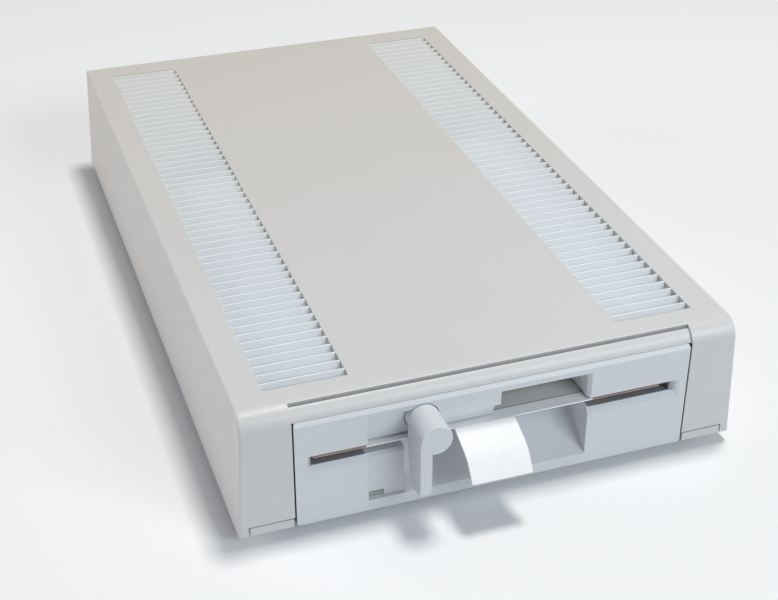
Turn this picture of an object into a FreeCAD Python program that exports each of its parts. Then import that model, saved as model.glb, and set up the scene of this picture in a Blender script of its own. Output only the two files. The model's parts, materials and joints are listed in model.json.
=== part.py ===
# External disk drive: a half-height drive with a quarter-turn lever in a long plastic desktop case.
# Drawn in millimetres from the case's front plane (y = 0), its middle (x = 0) and its lower edge (z = 0),
# then placed so that the origin is on the table under the middle of the whole object.
import FreeCAD, Part
import math
import os

os.makedirs("parts", exist_ok=True)
V = FreeCAD.Vector

# Drive front: the sizes that the case and the drive are built round
bezel_height = 43.0
bezel_half = 74.0
running_fit = 0.05
flat_fit = 0.3

# Case: outer sizes, draft and walls
case_length = 308.0
case_half_bottom = 94.6
case_draft = 2.5
case_half_top = case_half_bottom - case_draft
lintel_gap = 0.15
lintel_height = 5.85
opening_top = bezel_height + lintel_gap
case_height = opening_top + lintel_height
opening_gap = 0.6
opening_half = bezel_half + opening_gap
side_wall = 3.0
top_wall = 2.5
pillar_depth = 3.0
brow_radius = 7.0
edge_round = 0.8
lintel_sink = 0.95
lintel_step = 5.0
lintel_depth = 9.0
groove_width = 0.6
groove_depth = 1.0

# Louvres in the case top
vent_edge = 11.3
vent_width = 30.45
vent_outer = case_half_top - vent_edge
vent_inner = vent_outer - vent_width
vent_front = 14.1
vent_margin = 11.8
vent_length = case_length - vent_front - vent_margin
slat_pitch = 5.33
slat_count = int(vent_length / slat_pitch) + 1
slat_thickness = 0.5
slat_root = 1.0
slat_back_gap = 0.6
slat_depth = 4.0
slat_lean_deg = 20.0
louvre_rail = 1.5

# Base tray, feet and case screws
tray_floor = 2.0
tray_drop = 1.2
tray_lip_height = 6.0
tray_lip_wall = 2.4
tab_height = 3.4
tab_depth = 5.0
tab_inset = 0.4
tab_gap = 0.5
tab_reach = 4.0
floor_slot_count = 6
floor_slot_pitch = 10.0
floor_slot_front = case_length - 80.0
floor_slot_width = 3.0
floor_slot_x = 40.0
floor_slot_half = 16.0
foot_radius = 6.5
foot_height = 3.3
foot_rim = 0.6
foot_x = case_half_bottom - 28.6
foot_inset = 22.0
screw_x = case_half_bottom - 8.6
screw_inset_front = 26.0
screw_inset_back = 14.0
screw_shank = 1.45
screw_head = 2.9
screw_head_height = 1.4
screw_length = 12.0
screw_bite = 0.05
screw_socket = 0.7
cross_reach = 1.6
cross_half = 0.35
post_radius = 3.4
post_gap = 0.3
post_rib_half = 1.2

# Rear panel with its socket, inlet and switch
panel_thickness = 2.5
panel_inset = 1.0
data_x = -45.0
data_z = 24.0
data_flange_half_x = 34.7
data_flange_half_z = 6.3
data_flange_thickness = 1.2
data_shell_half_x = 27.5
data_shell_half_z = 4.2
data_shell_depth = 5.6
data_shell_wall = 0.6
data_shell_round = 2.0
data_block_gap = 1.8
data_block_back = 9.0
data_post_spacing = 63.5
jack_radius = 2.4
jack_bore = 1.45
jack_thread = 1.1
jack_depth = 5.0
jack_tail = 3.0
inlet_x = case_half_bottom - 32.6
inlet_z = 24.0
inlet_half_x = 13.7
inlet_half_z = 9.9
inlet_fit = 0.2
inlet_flange = 2.2
inlet_flange_thickness = 2.0
inlet_depth = 18.0
inlet_wall = 2.0
inlet_mouth_half_x = 12.0
inlet_mouth_half_z = 7.8
inlet_corner = 4.0
inlet_pin_x = 7.0
inlet_pin_z = 2.0
inlet_pin_half_x = 1.0
inlet_pin_half_z = 2.0
inlet_pin_sink = 3.0
switch_x = inlet_x - 35.0
switch_z = 24.0
switch_half_x = 6.4
switch_half_z = 9.4
switch_wall = 1.2
switch_rim = 1.6
switch_rim_depth = 1.5
switch_depth = 14.0
switch_mouth = 7.0
rocker_tilt_deg = 8.0
rocker_reach = 3.0
rocker_pin = 1.0
rocker_keel = 4.0

# Bezel, its heights as shares of its whole height
bezel_plate = 6.0
bezel_corner = 1.0
bezel_bevel = 1.5
bezel_bevel_depth = 0.9
slot_left = -68.0
slot_right = 67.6
slot_bottom = 0.5581 * bezel_height
slot_top = 0.6674 * bezel_height
slot_chamfer_bottom = 0.5093 * bezel_height
slot_chamfer_depth = 1.6
slot_chamfer_left = -70.0
slot_chamfer_right = 71.0
recess_left = -48.0
recess_floor = 0.1023 * bezel_height
recess_shade_depth = 1.2
upper_recess_depth = 2.8
upper_recess_top = 0.9209 * bezel_height
block_left = -21.9
block_right = 0.6
block_lip_end = -1.5
block_step = 0.7930 * bezel_height
block_chamfer_top = 0.8047 * bezel_height
block_chamfer_depth = 3.0
window_right = 34.4
window_chamfer = 1.1
window_chamfer_depth = 1.5
window_top = 0.9163 * bezel_height
window_hood = 14.5
window_hood_round = 3.0
window_hood_wall = 1.6
well_left = -34.7
well_right = 34.6
well_ramp_depth = 17.0
well_ramp_top = 0.4140 * bezel_height
well_wall = 2.0
lamp_left = -47.8
lamp_right = -42.0
lamp_bottom = 0.1128 * bezel_height
lamp_top = 0.1651 * bezel_height
lamp_fit = 0.05
lamp_sink = 0.5
lamp_lens_tail = 2.0
lamp_radius = 1.5
lamp_length = 4.0
lamp_collar = 1.9
lamp_collar_depth = 1.0

# Lever: knob, blade, shaft and cam
lever_x = -28.2
lever_z = 0.8163 * bezel_height
knob_radius = 5.7
knob_front = -13.7
knob_back = 3.0
knob_round = 0.5
knob_clearance = 0.3
keyhole_half = 3.0
blade_width = 4.2
blade_front = -13.4
blade_front_drop = 22.4
blade_back_drop = 25.4
blade_back_top = -0.6
blade_back_bottom = -3.0
blade_round = 2.0
shaft_radius = 2.0
shaft_grip = 8.0
shaft_back = 26.0
bracket_sheet = 2.0
bracket_front = 9.0
bracket_half = 8.0
bracket_drop = 4.9
bracket_eye = 2.6
bracket_flange_sheet = 1.2
bracket_tail = 4.0
cam_front = 17.0
cam_back = 22.0
cam_radius = 3.8
cam_throw = 1.5
cam_phase_deg = 45.0

# Card that fills the slot for transport
card_left = -67.5
card_right = 62.8
card_top = 0.6512 * bezel_height
card_thickness = 0.45
card_front = 0.3
card_back = 132.6
card_hole_radius = 15.2
flap_left = -16.4
flap_right = 6.1
flap_reach = 17.4
flap_drop = 12.0

# Drive chassis, its heights as shares of the bezel's
drive_half = bezel_half - 1.0
drive_bottom = 0.85
drive_top = bezel_height - 0.85
drive_length = 203.0
drive_wall = 2.0
drive_flange = 8.0
drive_flange_thickness = 2.5
drive_flange_front = 34.0
drive_flange_back = 50.0
deck_bottom = 0.3953 * bezel_height
deck_top = 0.4651 * bezel_height
deck_front = 22.0
deck_back = 176.0
mount_x = drive_half - 3.15
mount_y_front = 55.4
mount_y_back = 134.65
shield_thickness = 0.8
lid_margin = 4.0

# Spindle and its motor
spindle_x = -1.0
spindle_y = 66.5
hub_radius = 17.0
hub_rim = 0.5581 * bezel_height
hub_top = 0.6279 * bezel_height
hub_bore = 14.4
hub_web = 1.4
spindle_shaft = 3.0
bearing_radius = 9.0
bearing_lip = 2.0
bearing_flange = 1.2
bearing_tail = 2.4
rotor_radius = 43.0
rotor_bottom = 0.1488 * bezel_height
rotor_height = 0.1535 * bezel_height
rotor_wall = 2.0
coil_count = 12
coil_radius = 5.0
coil_circle = 30.0
coil_height = 0.1279 * bezel_height
board_thickness = 1.6
board_bottom = 0.0674 * bezel_height

# Clamp arm and cone
arm_half = 58.0
arm_bottom = 0.7302 * bezel_height
arm_thickness = 1.5
arm_front = 27.5
arm_bridge_back = 94.0
arm_leg = 9.0
arm_pivot_y = 150.0
arm_pivot_z = 0.7488 * bezel_height
arm_eye_wall = 2.0
pivot_radius = 2.0
pivot_shoulder = 1.5
arm_tongue_half = 5.0
arm_tongue_front = 15.2
arm_tongue_thickness = 0.9
cam_gap = 0.3
cone_tip_radius = 13.6
cone_taper = 1.2
cone_flange_radius = 17.0
cone_flange_thickness = 1.6
cone_gap = 0.3
cone_tip_bottom = 0.6221 * bezel_height
cone_pin = 2.0
cone_boss_wall = 3.0
cone_pin_head = 1.4
cone_pin_head_height = 1.4

# Head carriage, rods and screw
head_y = 123.65
head_half = 4.0
rail_radius = 2.5
rail_x = 20.0
rail_z = 0.4047 * bezel_height
rail_front = 86.0
rail_back = 172.0
carrier_depth = 4.0
carrier_web = 1.1
carrier_reach = 4.0
sled_half = 25.0
sled_bottom = 0.3233 * bezel_height
sled_top = 0.4884 * bezel_height
tower_half = 13.0
tower_top = 0.5953 * bezel_height
carriage_front = 114.0
carriage_back = 164.0
head_gap = 0.3
head_arm_reach = 34.0
head_arm_pivot_z = 0.7209 * bezel_height
head_arm_pin = 1.5
head_arm_eye = 2.6
head_arm_ear = 3.4
head_arm_half = 8.0
head_arm_nose = 1.0
head_arm_bottom = 0.6930 * bezel_height
head_arm_top = 0.7488 * bezel_height
window_margin = 1.5
lead_x = 31.0
lead_z = 0.5465 * bezel_height
lead_radius = 2.2
lead_front = 87.5
lead_end_gap = 4.0
lead_post_half = 4.0
lead_post_top = 0.6186 * bezel_height
nut_front = 140.0
nut_depth = 10.0
nut_rise = 1.2
stepper_radius = 0.3953 * bezel_height
stepper_front = 178.0
stepper_length = 22.0
stepper_end_wall = 3.0
stepper_plate_margin = 2.0
guide_grip = 0.9
guide_groove_depth = 1.2
guide_top = 0.7209 * bezel_height
guide_groove_bottom = 0.6233 * bezel_height
guide_groove_top = 0.6651 * bezel_height
disk_width = 133.4
guide_front = 22.0
guide_back = 128.0

# Boards and cables
logic_board_front = 112.0
logic_board_back = 206.0
logic_board_half = 64.0
motor_board_half = 60.0
motor_board_front = 24.0
motor_board_back = 108.0
standoff_radius = 2.6
standoff_inset = 6.0
chip_columns = 3
chip_rows = 3
chip_left = -50.0
chip_front = 20.0
chip_pitch = 22.0
chip_width = 7.0
chip_length = 19.0
chip_height = 3.4
edge_connector_half = 20.0
edge_connector_front = 200.0
edge_connector_back = 212.0
edge_connector_lip = 1.6
edge_connector_top = 8.6
power_half = 7.0
power_depth = 8.0
power_height = 9.0
power_margin = 1.0
ribbon_thickness = 1.0
ribbon_half = 19.0
ribbon_bend = 6.0
ribbon_flat = 30.0
ribbon_slope = 14.0
harness_radius = 1.1
harness_pitch = 2.6
harness_count = 4
harness_bend = 8.0
harness_top = 26.0

# Power supply, its lengths as shares of its board's
supply_left = 4.0
supply_right = case_half_bottom - 8.6
supply_front = 218.0
supply_back = case_length - 24.0
supply_length = supply_back - supply_front
supply_board_z = 6.0
supply_inset = 4.5
core_half_x = 25.0
core_half_y = 0.1667 * supply_length
core_half_z = 16.0
transformer_x = supply_right - core_half_x - 5.0
transformer_y = supply_front + 0.4242 * supply_length
winding_half_x = 15.0
winding_half_y = 0.2879 * supply_length
winding_half_z = 11.0
harness_x = transformer_x
can_count = 3
can_x = 11.0
can_radius = 0.0909 * supply_length
can_front = 0.3939 * supply_length
can_pitch = 2.4 * can_radius
can_height = 22.0
header_front = 2.0
header_depth = 0.0909 * supply_length
header_height = 8.0
sink_left = 1.0
sink_sheet = 1.6
sink_foot = 4.0
sink_foot_length = 16.0
sink_foot_sheet = 1.5
sink_margin = 2.0
sink_height = 28.0
regulator_depth = 4.4
regulator_front = 5.0
regulator_width = 10.0
regulator_height = 15.0
mains_reach = 9.0
mains_reach_step = 5.0
mains_rise = 4.0
mains_fall = 6.0
mains_step = 3.0
mains_inset = 9.0
mains_bend = 6.0
mains_drop_back = 6.0

pieces = {}


def box(x0, x1, y0, y1, z0, z1):
    """Block between two opposite corners."""
    return Part.makeBox(x1 - x0, y1 - y0, z1 - z0, V(x0, y0, z0))


def bar_x(x0, x1, y, z, radius):
    """Round bar along X."""
    return Part.makeCylinder(radius, x1 - x0, V(x0, y, z), V(1, 0, 0))


def bar_y(x, y0, y1, z, radius):
    """Round bar along Y."""
    return Part.makeCylinder(radius, y1 - y0, V(x, y0, z), V(0, 1, 0))


def bar_z(x, y, z0, z1, radius):
    """Round bar along Z."""
    return Part.makeCylinder(radius, z1 - z0, V(x, y, z0), V(0, 0, 1))


def side_profile(points, x0, x1):
    """Closed outline of (y, z) points drawn out along X."""
    corners = [V(x0, y, z) for y, z in points]
    face = Part.Face(Part.makePolygon(corners + corners[:1]))
    return face.extrude(V(x1 - x0, 0, 0))


def front_profile(points, y0, y1):
    """Closed outline of (x, z) points drawn out along Y."""
    corners = [V(x, y0, z) for x, z in points]
    face = Part.Face(Part.makePolygon(corners + corners[:1]))
    return face.extrude(V(0, y1 - y0, 0))


def plan_profile(points, z0, z1):
    """Closed outline of (x, y) points drawn out along Z."""
    corners = [V(x, y, z0) for x, y in points]
    face = Part.Face(Part.makePolygon(corners + corners[:1]))
    return face.extrude(V(0, 0, z1 - z0))


def join(shapes):
    """One solid from pieces that meet or overlap."""
    body = shapes[0]
    for shape in shapes[1:]:
        body = body.fuse(shape)
    return body.removeSplitter()


def group(shapes):
    """Separate solids of one sort kept together."""
    return Part.makeCompound(shapes)


def case_half(z):
    """Half width of the case's outside at height z, from its draft."""
    return case_half_bottom + (case_half_top - case_half_bottom) * z / case_height


def edges_where(shape, test):
    """Edges whose middle point passes a test."""
    return [e for e in shape.Edges if test(e.valueAt((e.FirstParameter + e.LastParameter) / 2))]


def drafted_block(inset, y0, y1, z0, z1):
    """Block with the case's draft, its sides moved in by an inset."""
    low = case_half(z0) - inset
    high = case_half(z1) - inset
    return front_profile([(-low, z0), (low, z0), (high, z1), (-high, z1)], y0, y1)


def screw_places():
    """Plan positions of the four case screws."""
    rows = (screw_inset_front, case_length - screw_inset_back)
    return [(side * screw_x, y) for side in (-1, 1) for y in rows]


def foot_places():
    """Plan positions of the four feet."""
    rows = (foot_inset, case_length - foot_inset)
    return [(side * foot_x, y) for side in (-1, 1) for y in rows]


def make_top_cover():
    """Drafted shell with rounded brow, front opening, sunk lintel, vent openings and screw posts."""
    outer = drafted_block(0.0, 0.0, case_length, 0.0, case_height)
    brow = edges_where(outer, lambda p: p.y < 0.01 and p.z > case_height - 0.01)
    outer = outer.makeFillet(brow_radius, brow)

    def crisp(p):
        at_side = abs(abs(p.x) - case_half(min(p.z, case_height))) < 0.05
        return at_side and p.z > 0.5 and p.y < case_length - 0.5
    outer = outer.makeFillet(edge_round, edges_where(outer, crisp))
    inner_top = case_height - top_wall
    hollow = drafted_block(side_wall, pillar_depth, case_length + 1.0, -1.0, inner_top)
    inner_brow = edges_where(hollow, lambda p: abs(p.y - pillar_depth) < 0.01 and p.z > inner_top - 0.01)
    hollow = hollow.makeFillet(brow_radius - top_wall, inner_brow)
    lintel = box(-opening_half, opening_half, pillar_depth, lintel_depth, opening_top, inner_top)
    shell = join([outer.cut(hollow), lintel])
    opening = box(-opening_half, opening_half, -1.0, lintel_depth + 1.0, -1.0, opening_top)
    above = case_height + 1.0
    sunk_radius = brow_radius - lintel_sink
    sunk_back = lintel_sink + sunk_radius
    sunk_top = case_height - lintel_sink
    sunk_block = box(-opening_half, opening_half, lintel_sink, sunk_back + brow_radius,
                     opening_top - brow_radius, sunk_top)
    sunk_edge = edges_where(sunk_block, lambda p: p.y < lintel_sink + 0.01 and p.z > sunk_top - 0.01)
    sunk_block = sunk_block.makeFillet(sunk_radius, sunk_edge)
    step = box(-opening_half, opening_half, -1.0, lintel_step, opening_top - 1.0, above)
    shell = shell.cut(opening).cut(step.cut(sunk_block))
    groove = box(-opening_half, opening_half, lintel_step - groove_width, lintel_step,
                 sunk_top - groove_depth, above)
    shell = shell.cut(groove)
    for side in (-1, 1):
        x0, x1 = sorted((side * vent_inner, side * vent_outer))
        shell = shell.cut(box(x0, x1, vent_front, vent_front + vent_length, inner_top - 1.0, above))
    tab_room = case_half_bottom - tab_reach + tab_gap
    for side in (-1, 1):
        x0, x1 = sorted((side * (opening_half - 1.0), side * tab_room))
        shell = shell.cut(box(x0, x1, -1.0, pillar_depth + 1.0, -1.0, tab_height + tab_gap))
    post_foot = tray_floor - tray_drop + post_gap
    for x, y in screw_places():
        reach = box(*sorted((x, math.copysign(case_half(inner_top) - edge_round / 2, x))),
                    y - post_rib_half, y + post_rib_half, tray_lip_height + flat_fit, inner_top)
        post = bar_z(x, y, post_foot, inner_top, post_radius)
        shell = shell.fuse(post.fuse(reach))
    for x, y in screw_places():
        bore_top = post_foot + screw_length + 1.0
        shell = shell.cut(bar_z(x, y, post_foot - 0.1, bore_top, screw_shank + screw_bite))
    return shell.removeSplitter()


def make_louvres(side):
    """Leaning slats between two rails that seat under the case top, thicker at their roots."""
    x0, x1 = sorted((side * vent_inner, side * vent_outer))
    under = case_height - top_wall
    low = case_height - slat_depth
    lean = slat_depth * math.tan(math.radians(slat_lean_deg))
    y_last = vent_front + vent_length - slat_back_gap
    y_first = y_last - slat_thickness - (slat_count - 1) * slat_pitch
    rails = [box(x0 - louvre_rail, x0, y_first - lean, y_last, low, under),
             box(x1, x1 + louvre_rail, y_first - lean, y_last, low, under)]
    slats = []
    for k in range(slat_count):
        y = y_first + k * slat_pitch
        outline = [(y, case_height), (y + slat_thickness, case_height),
                   (y + slat_root - lean, low), (y - lean, low)]
        slats.append(side_profile(outline, x0, x1))
    body = rails[0].multiFuse(slats + rails[1:])
    return body.removeSplitter()


def make_base_tray():
    """Floor with side lips, front tabs under the pillars, drive seats and screw holes."""
    floor_top = tray_floor - tray_drop
    half = case_half_bottom - side_wall - flat_fit
    back = case_length - panel_inset
    floor = box(-half, half, tab_depth, back, -tray_drop, floor_top)
    parts = [floor]
    lip_outer = case_half(tray_lip_height) - side_wall - flat_fit
    for side in (-1, 1):
        x0, x1 = sorted((side * lip_outer, side * (lip_outer - tray_lip_wall)))
        lip = box(x0, x1, pillar_depth + 0.5, back - panel_thickness - 1.0, floor_top, tray_lip_height)
        t0, t1 = sorted((side * (opening_half + tab_inset), side * (case_half_bottom - tab_reach)))
        tab = box(t0, t1, 0.0, tab_depth + 2.0, 0.0, tab_height)
        parts += [lip, tab]
    tray = join(parts)
    bay = opening_half + tab_inset
    tray = tray.cut(box(-bay, bay, -1.0, bezel_plate + tab_gap, -tray_drop - 1.0, tray_lip_height + 1.0))
    under = -tray_drop - 1.0
    over = tray_lip_height + 1.0
    seat = screw_head_height - tray_drop
    for x, y in screw_places():
        tray = tray.cut(bar_z(x, y, floor_top, over, post_radius + post_gap))
        tray = tray.cut(bar_z(x, y, under, over, screw_shank + flat_fit))
        tray = tray.cut(bar_z(x, y, under, seat, screw_head + flat_fit))
    for side in (-1, 1):
        for y in (mount_y_front, mount_y_back):
            tray = tray.cut(bar_z(side * mount_x, y, under, over, screw_shank + flat_fit))
            tray = tray.cut(bar_z(side * mount_x, y, under, seat, screw_head + flat_fit))
    for k in range(floor_slot_count):
        y = floor_slot_front + floor_slot_pitch * k
        for x in (-floor_slot_x, floor_slot_x):
            slot = box(x - floor_slot_half, x + floor_slot_half, y, y + floor_slot_width, under, over)
            tray = tray.cut(slot)
    return tray.removeSplitter()


def make_screw(x, y, z_head, length):
    """Pan-head screw pointing up, with a cross recess in its head."""
    head = bar_z(x, y, z_head, z_head + screw_head_height - 0.1, screw_head)
    shank = bar_z(x, y, z_head + screw_head_height - 0.2, z_head + length, screw_shank)
    low = z_head - 1.0
    high = z_head + screw_socket
    cross = box(x - cross_reach, x + cross_reach, y - cross_half, y + cross_half, low, high)
    cross = cross.fuse(box(x - cross_half, x + cross_half, y - cross_reach, y + cross_reach, low, high))
    return join([head, shank]).cut(cross)


def make_feet():
    """Four round rubber feet with softened rims."""
    feet = []
    for x, y in foot_places():
        foot = bar_z(x, y, -tray_drop - foot_height, -tray_drop, foot_radius)
        rim = [e for e in foot.Edges if e.BoundBox.ZMax < -tray_drop - foot_height + 0.01]
        feet.append(foot.makeFillet(foot_rim, rim))
    return group(feet)


def make_rear_panel():
    """Flat panel inside the case's back edge with its three cut-outs."""
    back = case_length - panel_inset
    front = back - panel_thickness
    low = tray_floor - tray_drop
    panel = drafted_block(side_wall + flat_fit, front, back, low, case_height - top_wall - flat_fit)
    holes = [(data_x, data_z, data_shell_half_x + flat_fit, data_shell_half_z + flat_fit),
             (inlet_x, inlet_z, inlet_half_x, inlet_half_z),
             (switch_x, switch_z, switch_half_x, switch_half_z)]
    for x, z, half_x, half_z in holes:
        panel = panel.cut(box(x - half_x, x + half_x, front - 1, back + 1, z - half_z, z + half_z))
    for side in (-1, 1):
        x = data_x + side * data_post_spacing / 2
        panel = panel.cut(bar_y(x, front - 1, back + 1, data_z, jack_bore + flat_fit))
    return panel


def make_data_socket():
    """Flanged socket shell behind the panel with a contact block in its mouth."""
    front = case_length - panel_inset - panel_thickness
    root = front - data_flange_thickness
    mouth_end = front + data_shell_depth

    def plate(half_x, half_z, y0, y1):
        return box(data_x - half_x, data_x + half_x, y0, y1, data_z - half_z, data_z + half_z)
    flange = plate(data_flange_half_x, data_flange_half_z, root, front)
    shell = plate(data_shell_half_x, data_shell_half_z, root, mouth_end)
    corners = edges_where(shell, lambda p: abs(abs(p.x - data_x) - data_shell_half_x) < 0.01
                          and abs(abs(p.z - data_z) - data_shell_half_z) < 0.01)
    shell = shell.makeFillet(data_shell_round, corners)
    mouth = plate(data_shell_half_x - data_shell_wall, data_shell_half_z - data_shell_wall, front + 1.0,
                  mouth_end + 1.0)
    block = plate(data_shell_half_x - data_block_gap, data_shell_half_z - data_block_gap,
                  front - data_block_back, mouth_end - data_shell_wall)
    body = join([flange, shell]).cut(mouth)
    for side in (-1, 1):
        x = data_x + side * data_post_spacing / 2
        body = body.cut(bar_y(x, root - 1, front + 1, data_z, jack_bore + flat_fit))
    return join([body, block])


def make_jack_posts():
    """Two hexagonal threaded posts that hold the data socket to the panel."""
    back = case_length - panel_inset
    posts = []
    for side in (-1, 1):
        x = data_x + side * data_post_spacing / 2
        ring = [(x + jack_radius * math.cos(math.radians(60 * k)),
                 data_z + jack_radius * math.sin(math.radians(60 * k))) for k in range(6)]
        head = front_profile(ring, back, back + jack_depth)
        shank = bar_y(x, back - panel_thickness - jack_tail, back + 0.1, data_z, jack_bore)
        thread = bar_y(x, back + 1.0, back + jack_depth + 1.0, data_z, jack_thread)
        posts.append(join([head, shank]).cut(thread))
    return group(posts)


def make_inlet():
    """Three-pin mains inlet with its flange against the panel."""
    back = case_length - panel_inset
    half_x = inlet_half_x - inlet_fit
    half_z = inlet_half_z - inlet_fit
    body = box(inlet_x - half_x, inlet_x + half_x, back - inlet_depth, back,
               inlet_z - half_z, inlet_z + half_z)
    rim_x = inlet_half_x + inlet_flange
    rim_z = inlet_half_z + inlet_flange
    flange = box(inlet_x - rim_x, inlet_x + rim_x, back, back + inlet_flange_thickness,
                 inlet_z - rim_z, inlet_z + rim_z)
    left = inlet_x - inlet_mouth_half_x
    right = inlet_x + inlet_mouth_half_x
    low = inlet_z - inlet_mouth_half_z
    high = inlet_z + inlet_mouth_half_z
    outline = [(left, low), (right, low), (right, high - inlet_corner), (right - inlet_corner, high),
               (left + inlet_corner, high), (left, high - inlet_corner)]
    mouth = front_profile(outline, back - inlet_depth + inlet_wall, back + inlet_flange_thickness + 1)
    return join([body, flange]).cut(mouth)


def make_inlet_pins():
    """Three flat pins standing in the mains inlet."""
    back = case_length - panel_inset
    pins = []
    for dx, dz in ((-inlet_pin_x, -inlet_pin_z), (0.0, inlet_pin_z), (inlet_pin_x, -inlet_pin_z)):
        x = inlet_x + dx
        z = inlet_z + dz
        pins.append(box(x - inlet_pin_half_x, x + inlet_pin_half_x, back - inlet_depth + inlet_wall,
                        back - inlet_pin_sink, z - inlet_pin_half_z, z + inlet_pin_half_z))
    return group(pins)


def make_switch_body():
    """Frame of the mains switch, open at the back for its rocker."""
    back = case_length - panel_inset

    def block(margin, y0, y1):
        half_x = switch_half_x + margin
        half_z = switch_half_z + margin
        return box(switch_x - half_x, switch_x + half_x, y0, y1, switch_z - half_z, switch_z + half_z)
    body = block(-inlet_fit, back - switch_depth, back)
    rim = block(switch_rim, back, back + switch_rim_depth)
    mouth = block(-switch_wall, back - switch_mouth, back + switch_rim_depth + 1.0)
    return join([body, rim]).cut(mouth)


def make_rocker():
    """Rocker cap with two pressing faces, resting tilted in its frame."""
    back = case_length - panel_inset
    pin_y = back - rocker_pin
    half_x = switch_half_x - switch_wall - flat_fit
    half_z = switch_half_z - switch_wall - rocker_pin
    drop = half_z * math.sin(math.radians(rocker_tilt_deg))
    crest = back + rocker_reach - drop
    foot = back - 2 * rocker_pin
    outline = [(foot, switch_z - half_z), (crest, switch_z - half_z), (crest - drop, switch_z),
               (crest, switch_z + half_z), (foot, switch_z + half_z), (back - rocker_keel, switch_z)]
    cap = side_profile(outline, switch_x - half_x, switch_x + half_x)
    pin_half = switch_half_x - switch_wall - running_fit
    pin = bar_x(switch_x - pin_half, switch_x + pin_half, pin_y, switch_z, rocker_pin)
    rocker = join([cap, pin])
    rocker.rotate(V(switch_x, pin_y, switch_z), V(1, 0, 0), rocker_tilt_deg)
    return rocker


def make_bezel():
    """Front plate with the card slot, finger well, lever notch, upper window and lamp hole."""
    plate = box(-bezel_half, bezel_half, 0.0, bezel_plate, 0.0, bezel_height)
    corners = edges_where(plate, lambda p: abs(abs(p.x) - bezel_half) < 0.01
                          and (p.z < 0.01 or p.z > bezel_height - 0.01))
    plate = plate.makeFillet(bezel_corner, corners)
    bevel = side_profile([(-1.0, bezel_height + 1.0), (-1.0, bezel_height - bezel_bevel),
                          (0.0, bezel_height - bezel_bevel), (bezel_bevel_depth, bezel_height),
                          (bezel_bevel_depth, bezel_height + 1.0)], -bezel_half - 1, bezel_half + 1)
    plate = plate.cut(bevel)
    well_back = well_ramp_depth + well_wall
    well_low = recess_floor - well_wall
    well = side_profile([(0.0, well_low), (well_wall, well_low), (well_back, well_ramp_top - well_wall),
                         (well_back, slot_bottom), (0.0, slot_bottom)],
                        well_left - well_wall, well_right + well_wall)
    hood = box(block_lip_end - window_hood_wall, window_right + window_hood_wall, 0.0,
               window_hood + window_hood_wall, slot_top, window_top + window_hood_wall)
    body = plate.fuse(well).fuse(hood)
    through = well_back + 1.0
    well_high = slot_bottom + 1.0
    hollow = side_profile([(-1.0, recess_floor), (0.0, recess_floor), (well_ramp_depth, well_ramp_top),
                           (well_ramp_depth, well_high), (-1.0, well_high)], well_left, well_right)
    slot = box(slot_left, slot_right, -1.0, through, slot_bottom, slot_top)
    rims = []
    for y, left, right, low in ((-1.0, slot_chamfer_left, slot_chamfer_right, slot_chamfer_bottom),
                                (0.0, slot_chamfer_left, slot_chamfer_right, slot_chamfer_bottom),
                                (slot_chamfer_depth, slot_left, slot_right, slot_bottom)):
        corners = [V(left, y, low), V(right, y, low), V(right, y, slot_top), V(left, y, slot_top)]
        rims.append(Part.makePolygon(corners + corners[:1]))
    chamfer = Part.makeLoft(rims[1:], True, True).fuse(Part.makeLoft(rims[:2], True, True))
    shade = box(recess_left, well_left, -1.0, recess_shade_depth, recess_floor, slot_chamfer_bottom + 1.0)
    upper = box(recess_left, lever_x, -1.0, upper_recess_depth, slot_top - 1.0, upper_recess_top)
    notch_radius = knob_radius + knob_clearance
    notch = bar_y(lever_x, -1.0, through, lever_z, notch_radius)
    notch = notch.fuse(box(lever_x - keyhole_half, lever_x + keyhole_half, -1.0, through,
                           slot_bottom, lever_z))
    under = slot_top - 0.5
    lip = side_profile([(-1.0, under), (block_chamfer_depth, under), (0.0, block_chamfer_top),
                        (-1.0, block_chamfer_top)], block_left, block_lip_end)
    lip_end = box(block_lip_end, block_right, -1.0, window_hood, under, block_step)
    window = box(block_right, window_right, -1.0, window_hood, under, window_top)
    hood_corner = edges_where(window, lambda p: abs(p.x - window_right) < 0.01 and p.y > window_hood - 0.01
                              and under + 1.0 < p.z < window_top - 1.0)
    window = window.makeFillet(window_hood_round, hood_corner)
    flare = window_right + window_chamfer
    window = window.fuse(plan_profile([(window_right, -1.0), (flare, -1.0), (flare, 0.0),
                                       (window_right, window_chamfer_depth)], slot_top, window_top))
    lamp = box(lamp_left, lamp_right, -1.0, bezel_plate + 1.0, lamp_bottom, lamp_top)
    for shape in (hollow, slot, chamfer, shade, upper, notch, lip, lip_end, window, lamp):
        body = body.cut(shape)
    return body.removeSplitter()


def make_lamp_lens():
    """Small flat light guide sunk in the bezel's lamp hole."""
    return box(lamp_left + lamp_fit, lamp_right - lamp_fit, recess_shade_depth + lamp_sink,
               bezel_plate + lamp_lens_tail, lamp_bottom + lamp_fit, lamp_top - lamp_fit)


def make_lamp():
    """Lamp with a flat collar just behind its light guide."""
    x = (lamp_left + lamp_right) / 2
    z = (lamp_bottom + lamp_top) / 2
    start = bezel_plate + lamp_lens_tail
    end = start + lamp_length
    collar = bar_y(x, end, end + lamp_collar_depth, z, lamp_collar)
    return join([bar_y(x, start, end, z, lamp_radius), collar])


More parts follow.
